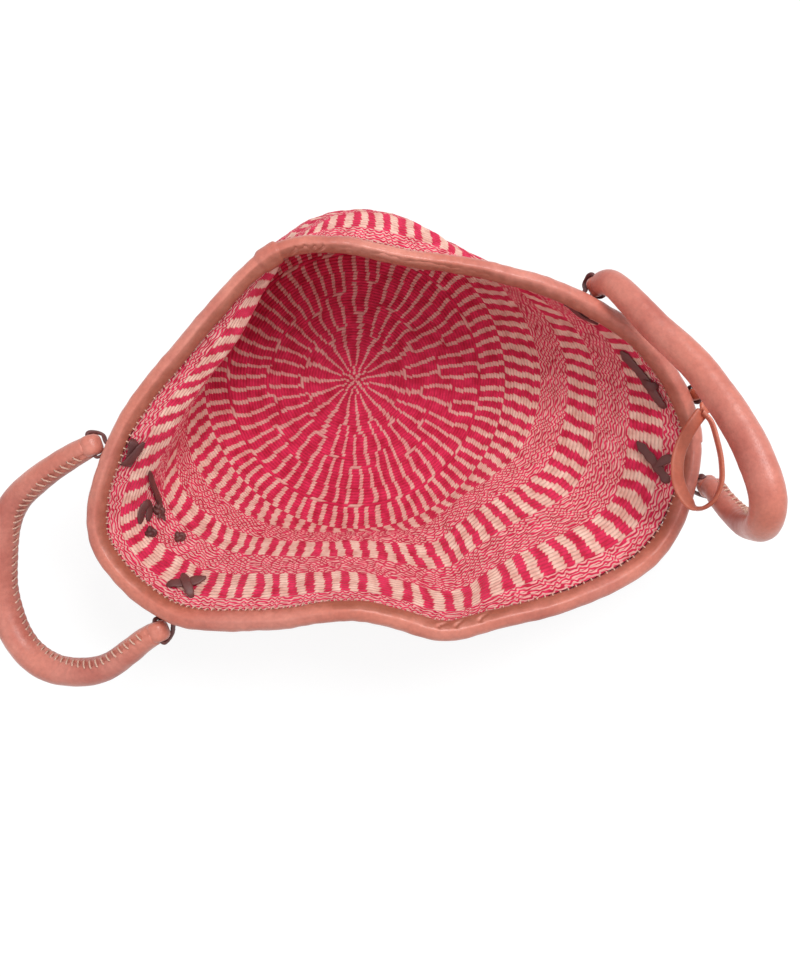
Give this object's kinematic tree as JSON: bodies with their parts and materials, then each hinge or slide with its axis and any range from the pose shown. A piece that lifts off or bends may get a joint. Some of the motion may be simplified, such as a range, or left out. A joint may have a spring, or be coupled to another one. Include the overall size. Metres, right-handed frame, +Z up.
{
  "type": "woven kiondo basket",
  "caption": "Soft round-based woven basket in red and cream bands, with a folded leather rim, hinged leather handles and a closure loop and button.",
  "frame": {"origin": "centre of the flat round base, on the surface the basket stands on", "axes": "+Z up, +X along the longest extent towards the handle that stands up, +Y towards the back wall that folds forward"},
  "size_m": [0.4875, 0.3163, 0.168],
  "materials": {
    "woven_sisal": "twined sisal in red and cream bands, matt",
    "tan_leather": "soft tan leather with a pink cast, slight sheen",
    "dark_leather": "dark brown leather thong, matt",
    "sisal_rope": "undyed twisted sisal rope",
    "pale_thread": "pale waxed sewing thread",
    "button_wood": "dark turned wood, satin"
  },
  "bodies": {
    "basket": {"woven_body": "woven_sisal", "rim_binding": "tan_leather", "rim_core": "sisal_rope", "rim_stitching": "pale_thread", "left_upper_lashing": "dark_leather", "left_lower_lashing": "dark_leather", "right_upper_lashing": "dark_leather", "right_lower_lashing": "dark_leather", "closure_loop_lashing": "dark_leather", "button_thong": "dark_leather"},
    "left_handle": {"left_handle_cover": "tan_leather", "left_handle_core": "sisal_rope", "left_handle_seam": "pale_thread"},
    "right_handle": {"right_handle_cover": "tan_leather", "right_handle_core": "sisal_rope", "right_handle_seam": "pale_thread"},
    "closure_loop": {"closure_loop": "tan_leather"},
    "closure_button": {"closure_button": "button_wood"}
  },
  "joints": [
    {"name": "left_handle_swing", "type": "hinge", "parent": "basket", "child": "left_handle", "pos_m": [-0.13772, -0.10927, 0.09472], "axis": [0.3269, -0.9442, -0.0413], "range_deg": [-112, 26]},
    {"name": "right_handle_swing", "type": "hinge", "parent": "basket", "child": "right_handle", "pos_m": [0.19517, -0.01361, 0.07525], "axis": [0.5152, -0.8404, -0.1683], "range_deg": [-114, 4]},
    {"name": "closure_loop_swing", "type": "hinge", "parent": "basket", "child": "closure_loop", "pos_m": [0.22611, -0.01591, 0.06306], "axis": [-0.4609, 0.8875, 0], "range_deg": [-14, 120]},
    {"name": "closure_button_turn", "type": "hinge", "parent": "basket", "child": "closure_button", "pos_m": [-0.1318, -0.09352, 0.06127], "axis": [-0.8037, -0.18, -0.5672], "range_deg": [-90, 90]}
  ]
}
